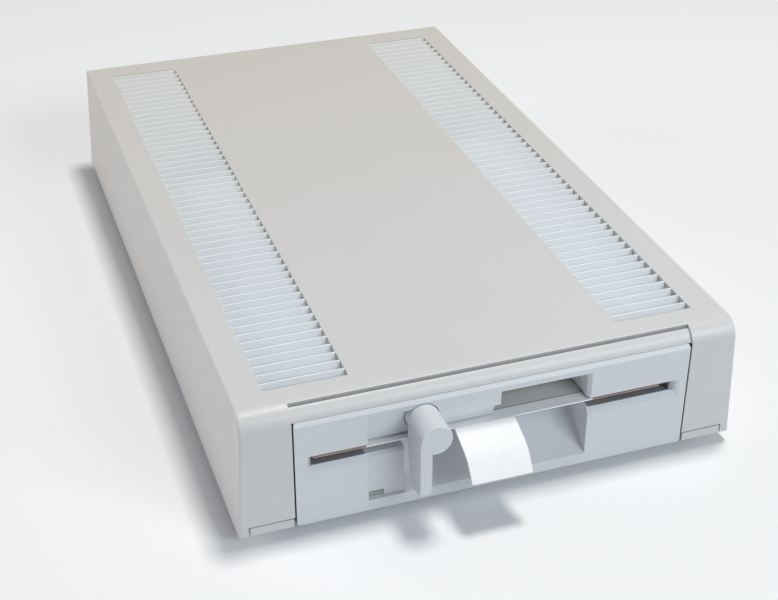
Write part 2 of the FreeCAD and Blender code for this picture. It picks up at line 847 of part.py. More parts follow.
def make_lever():
    """Round knob with a flat blade hanging from its left side, the closed position."""
    knob = bar_y(lever_x, knob_front, knob_back, lever_z, knob_radius)
    face = edges_where(knob, lambda p: p.y < knob_front + 0.01)
    knob = knob.makeFillet(knob_round, face)
    blade_left = lever_x - knob_radius
    outline = [(blade_front, lever_z), (blade_front, lever_z - blade_front_drop),
               (blade_back_bottom, lever_z - blade_back_drop), (blade_back_top, lever_z - knob_radius),
               (blade_back_top, lever_z)]
    blade = side_profile(outline, blade_left, blade_left + blade_width)
    low = lever_z - blade_back_drop
    heel = edges_where(blade, lambda p: abs(p.y - blade_back_bottom) < 0.01 and p.z < low + 0.01)
    blade = blade.makeFillet(blade_round, heel)
    shaft_hole = bar_y(lever_x, knob_back - shaft_grip, knob_back + 1.0, lever_z, shaft_radius)
    return join([knob, blade]).cut(shaft_hole)


def cam_centre():
    """Centre of the round cam at the closed position."""
    turn = math.radians(cam_phase_deg)
    return lever_x - cam_throw * math.sin(turn), lever_z - cam_throw * math.cos(turn)


def make_lever_shaft():
    """Steel shaft pressed into the knob."""
    return bar_y(lever_x, knob_back - shaft_grip, shaft_back, lever_z, shaft_radius)


def make_cam():
    """Round cam set off centre on the shaft, which presses the clamp arm down."""
    x, z = cam_centre()
    return bar_y(x, cam_front, cam_back, z, cam_radius).cut(
        bar_y(lever_x, cam_front - 1, cam_back + 1, lever_z, shaft_radius))


def make_shaft_bracket():
    """Bent sheet bracket under the drive's lid that carries the lever shaft in a bush."""
    left = lever_x - bracket_half
    right = lever_x + bracket_half
    top = drive_top - shield_thickness
    upright = box(left, right, bracket_front, bracket_front + bracket_sheet, lever_z - bracket_drop, top)
    flange = box(left, right, bracket_front, shaft_back + bracket_tail, top - bracket_flange_sheet, top)
    back = box(left, right, shaft_back - bracket_sheet, shaft_back, lever_z - bracket_eye, top)
    bore = bar_y(lever_x, bracket_front - 1, shaft_back + 1, lever_z, shaft_radius + running_fit)
    return join([upright, flange, back]).cut(bore)


def make_card():
    """Stiff card pushed into the slot, with its middle tab bent down over the front."""
    low = card_top - card_thickness
    sheet = box(card_left, card_right, card_front, card_back, low, card_top)
    bends = ((0.0, 0.0), (0.287, 0.183), (0.511, 0.308), (0.69, 0.45), (0.862, 0.717), (1.0, 1.0))
    spine = [(-flap_reach * out, card_top - flap_drop * down) for out, down in bends]
    under = []
    for k, (y, z) in enumerate(spine):
        y0, z0 = spine[max(k - 1, 0)]
        y1, z1 = spine[min(k + 1, len(spine) - 1)]
        run = math.hypot(y1 - y0, z1 - z0)
        under.append((y + card_thickness * (z0 - z1) / run, z - card_thickness * (y0 - y1) / run))
    top = Part.BSplineCurve()
    top.interpolate([V(flap_left, y, z) for y, z in spine])
    low_side = Part.BSplineCurve()
    low_side.interpolate([V(flap_left, y, z) for y, z in under])
    ends = [Part.makeLine(V(flap_left, *spine[0]), V(flap_left, *under[0])),
            Part.makeLine(V(flap_left, *spine[-1]), V(flap_left, *under[-1]))]
    wire = Part.Wire(Part.__sortEdges__([top.toShape(), low_side.toShape()] + ends))
    flap = Part.Face(wire).extrude(V(flap_right - flap_left, 0, 0))
    root = side_profile([(1.0, card_top), spine[0], under[0], (1.0, low)], flap_left, flap_right)
    card = join([sheet, root, flap])
    return card.cut(bar_z(spindle_x, spindle_y, low - 1, card_top + 1, card_hole_radius))


def make_chassis():
    """Cast frame: two side walls, foot flanges and a deck with its spindle and carriage openings."""
    back = bezel_plate + drive_length
    parts = []
    for side in (-1, 1):
        x0, x1 = sorted((side * drive_half, side * (drive_half - drive_wall)))
        f0, f1 = sorted((side * drive_half, side * (drive_half - drive_flange)))
        parts.append(box(x0, x1, bezel_plate, back, drive_bottom, drive_top))
        parts.append(box(f0, f1, bezel_plate + drive_flange_front, back - drive_flange_back, drive_bottom,
                         drive_bottom + drive_flange_thickness))
    parts.append(box(-drive_half, drive_half, deck_front, deck_back, deck_bottom, deck_top))
    window_left = spindle_x - sled_half - window_margin
    window_right_edge = lead_x + lead_post_half + window_margin
    deck_window = box(window_left, window_right_edge, rail_front + carrier_depth, rail_back - carrier_depth,
                      deck_bottom - 1, deck_top + 1)
    for y in (rail_front, rail_back - carrier_depth):
        parts.append(box(window_left - carrier_reach, window_right_edge, y, y + carrier_depth,
                         rail_z - rail_radius - carrier_web, rail_z + rail_radius + carrier_web))
    parts.append(box(lead_x - lead_post_half, lead_x + lead_post_half, rail_front, rail_front + carrier_depth,
                     deck_top - 1, lead_post_top))
    body = join(parts).cut(deck_window)
    body = body.cut(bar_z(spindle_x, spindle_y, deck_bottom - 1, deck_top + 1, bearing_radius + running_fit))
    body = body.cut(bar_y(lead_x, lead_front - running_fit, rail_front + carrier_depth + 1, lead_z,
                          lead_radius + running_fit))
    for side in (-1, 1):
        body = body.cut(bar_y(spindle_x + side * rail_x, rail_front - 1, rail_back + 1, rail_z, rail_radius))
        for y in (mount_y_front, mount_y_back):
            body = body.cut(bar_z(side * mount_x, y, drive_bottom - 1,
                                  drive_bottom + drive_flange_thickness + 1, screw_shank + screw_bite))
        body = body.cut(bar_x(*sorted((side * (drive_half - drive_wall - 1), side * (drive_half + 1))),
                              arm_pivot_y, arm_pivot_z, pivot_radius))
    return body.removeSplitter()


def make_drive_lid():
    """Thin sheet lid between the chassis walls."""
    inner = drive_half - drive_wall
    return box(-inner, inner, bezel_plate + lamp_lens_tail, deck_back - lid_margin,
               drive_top - shield_thickness, drive_top)


def make_guide(side):
    """Moulded guide with a groove for one edge of a disk."""
    outer = side * (drive_half - drive_wall)
    edge = card_left if side < 0 else card_left + disk_width
    inner = edge - side * guide_grip
    x0, x1 = sorted((inner, outer))
    rail = box(x0, x1, guide_front, guide_back, deck_top, guide_top)
    g0, g1 = sorted((inner - side, edge + side * guide_groove_depth))
    groove = box(g0, g1, guide_front - 1, guide_back + 1, guide_groove_bottom, guide_groove_top)
    return rail.cut(groove)


def make_bearing():
    """Flanged bearing bush pressed in the deck."""
    low = deck_bottom - bearing_tail
    high = deck_top + bearing_flange
    bush = bar_z(spindle_x, spindle_y, low, high, bearing_radius)
    flange = bar_z(spindle_x, spindle_y, deck_top, high, bearing_radius + bearing_lip)
    bore = bar_z(spindle_x, spindle_y, low - 1, high + 1, spindle_shaft + running_fit)
    return join([bush, flange]).cut(bore)


def make_spindle_hub():
    """Disk hub on its shaft, with a shallow cup for the clamp cone."""
    shaft = bar_z(spindle_x, spindle_y, rotor_bottom + 1.0, hub_rim + 1.0, spindle_shaft)
    hub = bar_z(spindle_x, spindle_y, hub_rim, hub_top, hub_radius)
    cup = bar_z(spindle_x, spindle_y, hub_rim + hub_web, hub_top + 1, hub_bore)
    return join([shaft, hub]).cut(cup)


def make_rotor():
    """Shallow steel cup that turns over the motor coils."""
    top = rotor_bottom + rotor_height
    cup = bar_z(spindle_x, spindle_y, rotor_bottom, top, rotor_radius)
    inside = bar_z(spindle_x, spindle_y, rotor_bottom - 1, top - rotor_wall, rotor_radius - rotor_wall)
    return cup.cut(inside).cut(bar_z(spindle_x, spindle_y, rotor_bottom - 1, top + 1, spindle_shaft))


def make_motor_board():
    """Circuit board of the spindle motor, hung under the deck."""
    return box(-motor_board_half, motor_board_half, motor_board_front, motor_board_back,
               board_bottom, board_bottom + board_thickness)


def make_coils():
    """Ring of wound coils standing on the motor board."""
    base = board_bottom + board_thickness
    coils = []
    for k in range(coil_count):
        turn = 2 * math.pi * k / coil_count
        x = spindle_x + coil_circle * math.cos(turn)
        y = spindle_y + coil_circle * math.sin(turn)
        coil = bar_z(x, y, base, base + coil_height, coil_radius)
        coils.append(coil.cut(bar_z(x, y, base - 1, base + coil_height + 1, coil_radius / 2)))
    return group(coils)


def make_drive_standoffs():
    """Round spacers between the deck and the two boards under it."""
    base = board_bottom + board_thickness
    places = [(side * (motor_board_half - standoff_inset), y) for side in (-1, 1)
              for y in (motor_board_front + standoff_inset, motor_board_back - standoff_inset)]
    places += [(side * (logic_board_half - standoff_inset), y) for side in (-1, 1)
               for y in (logic_board_front + standoff_inset, deck_back - standoff_inset)]
    return group([bar_z(x, y, base, deck_bottom, standoff_radius) for x, y in places])


def make_rails():
    """Two polished rods that the head carriage slides on."""
    return group([bar_y(spindle_x + side * rail_x, rail_front, rail_back, rail_z, rail_radius)
                  for side in (-1, 1)])


def head_pivot_y():
    """Place of the upper head arm's pin with the heads on the outermost track."""
    return head_y + head_arm_reach


def make_carriage():
    """Moulded carriage: sled on two rods, tower under the lower head, ears for the arm and a nut arm."""
    sled = box(spindle_x - sled_half, spindle_x + sled_half, carriage_front, carriage_back,
               sled_bottom, sled_top)
    tower = box(spindle_x - tower_half, spindle_x + tower_half, carriage_front, carriage_back,
                sled_top, tower_top)
    nut = box(spindle_x + tower_half, lead_x + lead_post_half, nut_front, nut_front + nut_depth,
              deck_top + nut_rise, lead_post_top)
    parts = [sled, tower, nut]
    pivot = head_pivot_y()
    for side in (-1, 1):
        x0, x1 = sorted((spindle_x + side * (head_arm_half + head_gap), spindle_x + side * tower_half))
        parts.append(box(x0, x1, pivot - head_arm_ear, pivot + head_arm_ear, tower_top,
                         head_arm_pivot_z + head_arm_eye))
    body = join(parts)
    for side in (-1, 1):
        body = body.cut(bar_y(spindle_x + side * rail_x, carriage_front - 1, carriage_back + 1, rail_z,
                              rail_radius + running_fit))
    body = body.cut(bar_y(lead_x, nut_front - 1, nut_front + nut_depth + 1, lead_z,
                          lead_radius + running_fit))
    return body.cut(bar_x(spindle_x - tower_half - 1, spindle_x + tower_half + 1, pivot, head_arm_pivot_z,
                          head_arm_pin))


def make_head(z0, z1):
    """Ceramic head block with its softened edges, on the head line."""
    return box(spindle_x - head_half, spindle_x + head_half, head_y - head_half, head_y + head_half, z0, z1)


def make_head_arm():
    """Upper arm with a hinge eye at its back end."""
    pivot = head_pivot_y()
    beam = box(spindle_x - head_arm_half, spindle_x + head_arm_half, head_y - head_half - head_arm_nose,
               pivot, head_arm_bottom, head_arm_top)
    eye = bar_x(spindle_x - head_arm_half, spindle_x + head_arm_half, pivot, head_arm_pivot_z, head_arm_eye)
    bore = bar_x(spindle_x - head_arm_half - 1, spindle_x + head_arm_half + 1, pivot, head_arm_pivot_z,
                 head_arm_pin + running_fit)
    return join([beam, eye]).cut(bore)


def make_head_arm_pin():
    """Pin across the carriage's two ears."""
    return bar_x(spindle_x - tower_half, spindle_x + tower_half, head_pivot_y(), head_arm_pivot_z,
                 head_arm_pin)


def make_lead_screw():
    """Helical drive screw of the carriage, from its front bearing into the stepper."""
    return bar_y(lead_x, lead_front, stepper_front + stepper_length - lead_end_gap, lead_z, lead_radius)


def make_stepper():
    """Round stepper motor with a bore for its shaft."""
    can = bar_y(lead_x, stepper_front, stepper_front + stepper_length, lead_z, stepper_radius)
    return can.cut(bar_y(lead_x, stepper_front - 1, stepper_front + stepper_length - stepper_end_wall, lead_z,
                         lead_radius + running_fit))


def make_stepper_bracket():
    """Plate on the deck's back edge that the stepper is fixed to."""
    half = stepper_radius + stepper_plate_margin
    plate = box(lead_x - half, lead_x + half, deck_back, stepper_front, lead_z - stepper_radius,
                lead_z + stepper_radius)
    return plate.cut(bar_y(lead_x, deck_back - 1, stepper_front + 1, lead_z, 2 * lead_radius))


def make_clamp_arm():
    """Sheet arm with a bridge over the disk, two side legs, hinge eyes and a tongue under the cam."""
    x, z = cam_centre()
    tongue_top = z - cam_radius - cam_gap
    tongue_bottom = tongue_top - arm_tongue_thickness
    top = arm_bottom + arm_thickness
    bridge = box(-arm_half, arm_half, arm_front, arm_bridge_back, arm_bottom, top)
    tongue = box(lever_x - arm_tongue_half, lever_x + arm_tongue_half, arm_tongue_front,
                 arm_front + arm_thickness, tongue_bottom, tongue_top)
    riser = box(lever_x - arm_tongue_half, lever_x + arm_tongue_half, arm_front, arm_front + arm_thickness,
                tongue_bottom, top)
    parts = [bridge, tongue, riser]
    eye_radius = pivot_radius + arm_eye_wall
    for side in (-1, 1):
        x0, x1 = sorted((side * arm_half, side * (arm_half - arm_leg)))
        parts.append(box(x0, x1, arm_bridge_back - 1.0, arm_pivot_y, arm_bottom, top))
        parts.append(bar_x(x0, x1, arm_pivot_y, arm_pivot_z, eye_radius))
    body = join(parts)
    body = body.cut(bar_x(-arm_half - 1, arm_half + 1, arm_pivot_y, arm_pivot_z, pivot_radius + running_fit))
    return body.cut(bar_z(spindle_x, spindle_y, arm_bottom - 1, top + 1, cone_pin))


def make_arm_pivots():
    """Two shouldered pins from the chassis walls into the clamp arm's eyes."""
    pins = []
    for side in (-1, 1):
        x0, x1 = sorted((side * (arm_half - arm_leg), side * drive_half))
        s0, s1 = sorted((side * (arm_half + flat_fit), side * (drive_half - drive_wall)))
        shoulder = bar_x(s0, s1, arm_pivot_y, arm_pivot_z, pivot_radius + pivot_shoulder)
        pins.append(join([bar_x(x0, x1, arm_pivot_y, arm_pivot_z, pivot_radius), shoulder]))
    return group(pins)


def make_clamp_cone():
    """Moulded cone that centres a disk on the hub and turns with it."""
    flange_bottom = card_top + cone_gap
    flange_top = flange_bottom + cone_flange_thickness
    tip = Part.makeCone(cone_tip_radius - cone_taper, cone_tip_radius, flange_bottom - cone_tip_bottom,
                        V(spindle_x, spindle_y, cone_tip_bottom))
    flange = bar_z(spindle_x, spindle_y, flange_bottom, flange_top, cone_flange_radius)
    boss = bar_z(spindle_x, spindle_y, flange_top, arm_bottom - cone_gap, cone_pin + cone_boss_wall)
    bore = bar_z(spindle_x, spindle_y, cone_tip_bottom - 1, arm_bottom + 1, cone_pin + running_fit)
    return join([tip, flange, boss]).cut(bore)


def make_cone_pin():
    """Headed pin through the clamp arm that the cone hangs and turns on."""
    top = arm_bottom + arm_thickness
    head_top = top + cone_pin_head_height
    pin = bar_z(spindle_x, spindle_y, cone_tip_bottom, head_top, cone_pin)
    return join([pin, bar_z(spindle_x, spindle_y, top, head_top, cone_pin + cone_pin_head)])


def make_logic_board():
    """Main circuit board of the drive, under the back of the deck."""
    return box(-logic_board_half, logic_board_half, logic_board_front, logic_board_back,
               board_bottom, board_bottom + board_thickness)


def make_chips():
    """Flat packages in rows on the main board."""
    base = board_bottom + board_thickness
    chips = []
    for column in range(chip_columns):
        for row in range(chip_rows):
            x = chip_left + chip_pitch * column
            y = logic_board_front + chip_front + chip_pitch * row
            chips.append(box(x, x + chip_width, y, y + chip_length, base, base + chip_height))
    return group(chips)


def make_edge_connector():
    """Socket pushed onto the main board's back edge."""
    low = board_bottom - edge_connector_lip
    body = box(data_x - edge_connector_half, data_x + edge_connector_half, edge_connector_front,
               edge_connector_back, low, edge_connector_top)
    return body.cut(box(-logic_board_half - 1, logic_board_half + 1, edge_connector_front - 1,
                        logic_board_back, board_bottom, board_bottom + board_thickness))


def make_power_connector():
    """Four-way power connector standing on the main board."""
    base = board_bottom + board_thickness
    back = logic_board_back - power_margin
    return box(harness_x - power_half, harness_x + power_half, back - power_depth, back, base,
               base + power_height)


def tube(points, bend, radius):
    """Round lead along straight runs joined by tangent arcs of one bend radius."""
    edges = []
    start = points[0]
    for before, corner, after in zip(points, points[1:], points[2:]):
        into = (corner - before).normalize()
        out = (after - corner).normalize()
        turn = into.getAngle(out)
        trim = bend * math.tan(turn / 2)
        first = corner - into * trim
        last = corner + out * trim
        inward = (out - into).normalize()
        middle = corner + inward * (bend / math.cos(turn / 2) - bend)
        edges.append(Part.makeLine(start, first))
        edges.append(Part.Arc(first, middle, last).toShape())
        start = last
    edges.append(Part.makeLine(start, points[-1]))
    path = Part.Wire(edges)
    ring = Part.Wire(Part.makeCircle(radius, points[0], points[1] - points[0]))
    return path.makePipeShell([ring], True, False)


def make_ribbon():
    """Flat ribbon cable from the drive's edge connector to the data socket."""
    half = ribbon_thickness / 2
    z_low = board_bottom + board_thickness / 2
    start = edge_connector_back
    rise = start + ribbon_flat
    crest = rise + ribbon_slope
    end = case_length - panel_inset - panel_thickness - data_block_back
    outline = [(start, z_low - half), (rise, z_low - half), (crest, data_z - half), (end, data_z - half),
               (end, data_z + half), (crest - half, data_z + half), (rise - half, z_low + half),
               (start, z_low + half)]
    cable = side_profile(outline, data_x - ribbon_half, data_x + ribbon_half)
    bends = edges_where(cable, lambda p: abs(p.x - data_x) < 0.01 and start + 1 < p.y < end - 1)
    return cable.makeFillet(ribbon_bend, bends)


def make_harness():
    """Four leads from the power supply to the drive."""
    z_drive = board_bottom + board_thickness + power_height
    z_supply = supply_top() + header_height
    y_drive = logic_board_back - power_margin - power_depth / 2
    y_supply = supply_front + header_front + header_depth / 2
    leads = []
    for k in range(harness_count):
        x = harness_x + (k - (harness_count - 1) / 2) * harness_pitch
        points = [V(x, y_drive, z_drive), V(x, y_drive, harness_top), V(x, y_supply, harness_top),
                  V(x, y_supply, z_supply)]
        leads.append(tube(points, harness_bend, harness_radius))
    return group(leads)


def make_supply_board():
    """Circuit board of the power supply."""
    return box(supply_left, supply_right, supply_front, supply_back, supply_board_z, supply_top())


def make_supply_standoffs():
    """Four spacers under the power supply board."""
    floor_top = tray_floor - tray_drop
    return group([bar_z(x, y, floor_top, supply_board_z, standoff_radius)
                  for x in (supply_left + supply_inset, supply_right - supply_inset)
                  for y in (supply_front + supply_inset, supply_back - supply_inset)])


def supply_top():
    """Upper face of the power supply board."""
    return supply_board_z + board_thickness


def make_winding():
    """Wound bobbin through the middle of the transformer core."""
    z = supply_top() + core_half_z
    return box(transformer_x - winding_half_x, transformer_x + winding_half_x, transformer_y - winding_half_y,
               transformer_y + winding_half_y, z - winding_half_z, z + winding_half_z)


def make_core():
    """Stack of steel laminations standing on the power supply board."""
    z = supply_top()
    stack = box(transformer_x - core_half_x, transformer_x + core_half_x, transformer_y - core_half_y,
                transformer_y + core_half_y, z, z + 2 * core_half_z)
    return stack.cut(make_winding())


def make_cans():
    """Three upright capacitors."""
    z = supply_top()
    first_y = supply_front + can_front
    return group([bar_z(supply_left + can_x, first_y + can_pitch * k, z, z + can_height, can_radius)
                  for k in range(can_count)])


def make_heatsink():
    """Upright aluminium plate with a foot on the power supply board."""
    z = supply_top()
    left = supply_left + sink_left
    front = supply_front + sink_margin
    plate = box(left, left + sink_sheet, front, supply_back - sink_margin, z, z + sink_height)
    foot = box(left, left + sink_foot, front, front + sink_foot_length, z, z + sink_foot_sheet)
    return join([plate, foot])


def make_regulator():
    """Flat power regulator against the heat sink."""
    z = supply_top() + sink_foot_sheet
    left = supply_left + sink_left + sink_sheet
    front = supply_front + regulator_front
    return box(left, left + regulator_depth, front, front + regulator_width, z, z + regulator_height)


def make_supply_header():
    """Four-way header for the drive's leads."""
    z = supply_top()
    front = supply_front + header_front
    return box(harness_x - power_half, harness_x + power_half, front, front + header_depth, z,
               z + header_height)


def make_mains_leads():
    """Two leads from the inlet to the switch and one on to the power supply board."""
    back = case_length - panel_inset
    y_inlet = back - inlet_depth
    y_switch = back - switch_depth
    leads = []
    for k in range(2):
        z = inlet_z + mains_rise - mains_fall * k
        x_inlet = inlet_x - mains_inset + mains_step * k
        x_switch = switch_x + mains_step
        y_turn = y_inlet - mains_reach - mains_reach_step * k
        points = [V(x_inlet, y_inlet, z), V(x_inlet, y_turn, z), V(x_switch, y_turn, z),
                  V(x_switch, y_switch, z)]
        leads.append(tube(points, mains_bend, harness_radius))
    z = switch_z - mains_rise
    x = switch_x - mains_step
    y_drop = supply_back - mains_drop_back
    points = [V(x, y_switch, z), V(x, y_drop, z), V(x, y_drop, supply_top())]
    leads.append(tube(points, mains_bend, harness_radius))
    return group(leads)


def make_case_screws():
    """Four screws up through the tray into the cover's posts."""
    return group([make_screw(x, y, -tray_drop, screw_length) for x, y in screw_places()])


def make_drive_screws():
    """Four short screws up through the tray into the drive's foot flanges."""
    length = tray_drop + drive_bottom + drive_flange_thickness + post_gap
    return group([make_screw(side * mount_x, y, -tray_drop, length)
                  for side in (-1, 1) for y in (mount_y_front, mount_y_back)])


pieces["top_cover"] = make_top_cover()
pieces["left_louvres"] = make_louvres(-1)
pieces["right_louvres"] = make_louvres(1)
pieces["base_tray"] = make_base_tray()
pieces["rubber_feet"] = make_feet()
pieces["case_screws"] = make_case_screws()
pieces["drive_screws"] = make_drive_screws()
pieces["rear_panel"] = make_rear_panel()
pieces["data_socket"] = make_data_socket()
pieces["jack_posts"] = make_jack_posts()
pieces["mains_inlet"] = make_inlet()
pieces["inlet_pins"] = make_inlet_pins()
pieces["switch_body"] = make_switch_body()
pieces["rocker"] = make_rocker()
pieces["bezel"] = make_bezel()
pieces["lamp_lens"] = make_lamp_lens()
pieces["lamp"] = make_lamp()
pieces["lever"] = make_lever()
pieces["lever_shaft"] = make_lever_shaft()
pieces["lever_cam"] = make_cam()
pieces["shaft_bracket"] = make_shaft_bracket()
pieces["transport_card"] = make_card()
pieces["chassis"] = make_chassis()
pieces["drive_lid"] = make_drive_lid()
pieces["left_guide"] = make_guide(-1)
pieces["right_guide"] = make_guide(1)
pieces["spindle_bearing"] = make_bearing()
pieces["spindle_hub"] = make_spindle_hub()
pieces["rotor"] = make_rotor()
pieces["motor_board"] = make_motor_board()
pieces["motor_coils"] = make_coils()
pieces["board_standoffs"] = make_drive_standoffs()
pieces["carriage_rails"] = make_rails()
pieces["carriage"] = make_carriage()
pieces["lower_head"] = make_head(tower_top, card_top - card_thickness - head_gap)
pieces["upper_head"] = make_head(card_top + head_gap, head_arm_bottom)
pieces["head_arm"] = make_head_arm()
pieces["head_arm_pin"] = make_head_arm_pin()
pieces["lead_screw"] = make_lead_screw()
pieces["stepper"] = make_stepper()
pieces["stepper_bracket"] = make_stepper_bracket()
pieces["clamp_arm"] = make_clamp_arm()
pieces["arm_pivots"] = make_arm_pivots()
pieces["clamp_cone"] = make_clamp_cone()
pieces["cone_pin"] = make_cone_pin()
pieces["logic_board"] = make_logic_board()
pieces["board_chips"] = make_chips()
pieces["edge_connector"] = make_edge_connector()
pieces["power_connector"] = make_power_connector()
pieces["ribbon_cable"] = make_ribbon()
pieces["power_harness"] = make_harness()
pieces["supply_board"] = make_supply_board()
pieces["supply_standoffs"] = make_supply_standoffs()
pieces["transformer_core"] = make_core()
pieces["transformer_winding"] = make_winding()
pieces["supply_capacitors"] = make_cans()
pieces["supply_heatsink"] = make_heatsink()
pieces["supply_regulator"] = make_regulator()
pieces["supply_header"] = make_supply_header()
pieces["mains_leads"] = make_mains_leads()

# Place everything with the origin on the table, under the middle of the overall length
front_end = -flap_reach
back_end = case_length - panel_inset + jack_depth
shift = V(0.0, -(front_end + back_end) / 2, tray_drop + foot_height)
for name, shape in pieces.items():
    shape.translate(shift)
    if not shape.isValid():
        print("not valid:", name)
    shape.exportStep("parts/" + name + ".step")
print(len(pieces), "sub-parts written")
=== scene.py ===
import json
import math

import bmesh
import bpy
import numpy as np
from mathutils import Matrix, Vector


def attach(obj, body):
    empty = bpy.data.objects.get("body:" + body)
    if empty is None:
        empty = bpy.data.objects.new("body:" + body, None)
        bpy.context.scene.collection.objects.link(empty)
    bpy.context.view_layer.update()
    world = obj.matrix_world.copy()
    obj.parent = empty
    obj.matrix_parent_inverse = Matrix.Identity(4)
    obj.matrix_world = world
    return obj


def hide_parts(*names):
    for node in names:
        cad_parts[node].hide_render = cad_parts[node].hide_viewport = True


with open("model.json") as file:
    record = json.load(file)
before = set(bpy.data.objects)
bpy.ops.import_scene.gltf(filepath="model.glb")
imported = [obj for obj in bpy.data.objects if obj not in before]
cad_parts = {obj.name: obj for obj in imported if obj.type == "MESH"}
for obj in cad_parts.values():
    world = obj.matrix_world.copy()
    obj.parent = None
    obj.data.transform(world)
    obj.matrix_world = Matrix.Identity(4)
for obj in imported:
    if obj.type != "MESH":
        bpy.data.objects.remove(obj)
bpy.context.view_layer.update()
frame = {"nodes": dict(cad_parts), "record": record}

scene = bpy.context.scene

# Camera
# A long lens in front of the drive's left corner, looking down on the case.
# Place, turn and focal length are those of the photograph, solved from the case's edges.
image_width = 778
focal_px = 1458.09
camera_turn = -0.33343
camera_pitch = -0.55216
camera_aim = Vector((-0.001176, -0.03358, 0.015346))
camera_distance = 0.60936
lens = bpy.data.cameras.new("camera")
lens.sensor_width = 36.0
lens.lens = focal_px / image_width * lens.sensor_width
camera = bpy.data.objects.new("camera", lens)
scene.collection.objects.link(camera)
sight = Vector((-math.sin(camera_turn) * math.cos(camera_pitch),
                math.cos(camera_turn) * math.cos(camera_pitch), math.sin(camera_pitch)))
camera.location = camera_aim - sight * camera_distance
camera.rotation_euler = (math.pi / 2 + camera_pitch, 0.0, camera_turn)
scene.camera = camera
scene.view_settings.view_transform = "Standard"


# Floor and light
# A sheet of white paper under the drive, swept up far behind it. A warm lamp hangs above the drive, a
# wide cool one high at the right front, and a weaker one stands low at the left.
class Wire:
    """A socket whose Python operators add Math nodes to its finish."""

    def __init__(self, finish, socket):
        self.finish = finish
        self.socket = socket

    def math(self, operation, *others):
        """This value and any others through one Math node."""
        return self.finish.add("ShaderNodeMath", {"operation": operation}, dict(enumerate((self,) + others)))

    def __add__(self, other):
        return self.math("ADD", other)

    def __sub__(self, other):
        return self.math("SUBTRACT", other)

    def __mul__(self, other):
        return self.math("MULTIPLY", other)

    def __rsub__(self, other):
        return self.finish.add("ShaderNodeMath", {"operation": "SUBTRACT"}, {0: other, 1: self})

    __radd__ = __add__
    __rmul__ = __mul__

    def ramp(self, low, high, to_low=0.0, to_high=1.0):
        """Straight ramp from one pair of values to another, held at both ends."""
        values = {"Value": self, "From Min": low, "From Max": high, "To Min": to_low, "To Max": to_high}
        return self.finish.add("ShaderNodeMapRange", {"clamp": True}, values)

    def between(self, low, high, soft=0.00005):
        """1 where this value lies between two bounds, falling to 0 beside them."""
        return self.ramp(low - soft, low) * self.ramp(high, high + soft, 1.0, 0.0)

    def mix(self, first, second):
        """Colour from first to second as this value goes from 0 to 1."""
        values = {"Factor": self, 6: first, 7: second}
        return self.finish.add("ShaderNodeMix", {"data_type": "RGBA"}, values, 2)

    def part(self, axis):
        """One coordinate of a vector."""
        return self.finish.add("ShaderNodeSeparateXYZ", {}, {0: self}, axis)


class Finish:
    """A node tree with one method that adds any node: its type, its settings, then its values and links."""

    def __init__(self, owner):
        owner.use_nodes = True
        self.owner = owner
        self.tree = owner.node_tree

    def add(self, kind, settings, values, output=0):
        node = self.tree.nodes.new(kind)
        for key, value in settings.items():
            setattr(node, key, value)
        for key, value in values.items():
            self.feed(node.inputs[key], value)
        return Wire(self, node.outputs[output])

    def feed(self, socket, value):
        if isinstance(value, Wire):
            self.tree.links.new(value.socket, socket)
        else:
            socket.default_value = value

    def paint(self, **values):
        """Values and links for the shader's own sockets."""
        for key, value in values.items():
            self.feed(self.tree.nodes["Principled BSDF"].inputs[key.replace("_", " ")], value)

    def place(self):
        """Object coordinates in metres."""
        return self.add("ShaderNodeTexCoord", {}, {}, "Object")

    def side(self):
        """Distance from the middle of the drive."""
        return self.place().part(0).math("ABSOLUTE")

    def noise(self, scale, detail=2.0, roughness=0.5, vector=None):
        values = {"Vector": vector or self.place(), "Scale": scale, "Detail": detail, "Roughness": roughness}
        return self.add("ShaderNodeTexNoise", {}, values, 0)

    def stretched(self, scale, along, factor=0.04):
        """Noise drawn out along one axis, for brushed or rolled marks."""
        size = [1.0, 1.0, 1.0]
        size[along] = factor
        vector = self.add("ShaderNodeMapping", {}, {"Vector": self.place(), "Scale": size})
        return self.noise(scale, 3.0, 0.6, vector)

    def bump(self, height, distance, strength=1.0):
        return self.add("ShaderNodeBump", {}, {"Height": height, "Distance": distance, "Strength": strength})


def new_finish(name):
    return Finish(bpy.data.materials.new(name))


def paper_sheet():
    """Grid whose height is zero near the object and a quarter of the square of the distance far behind it."""
    count = 80
    bend_start = 2.0
    x = np.linspace(-4.0, 4.0, count)
    y = np.linspace(-3.0, 6.0, count)
    gx, gy = np.meshgrid(x, y, indexing="ij")
    rise = np.clip(gy - bend_start, 0.0, None) ** 2 / 4
    points = np.stack([gx, gy, rise], axis=-1).reshape(-1, 3)
    index = np.arange(count * count).reshape(count, count)
    faces = np.stack([index[:-1, :-1], index[1:, :-1], index[1:, 1:], index[:-1, 1:]], axis=-1).reshape(-1, 4)
    mesh = bpy.data.meshes.new("paper")
    mesh.from_pydata(points.tolist(), [], faces.tolist())
    mesh.polygons.foreach_set("use_smooth", np.ones(len(faces), bool))
    return mesh


paper = bpy.data.objects.new("paper", paper_sheet())
scene.collection.objects.link(paper)
white = new_finish("paper_white")
white.paint(Base_Color=(0.92, 0.925, 0.93, 1.0), Roughness=0.9)
paper.data.materials.append(white.owner)

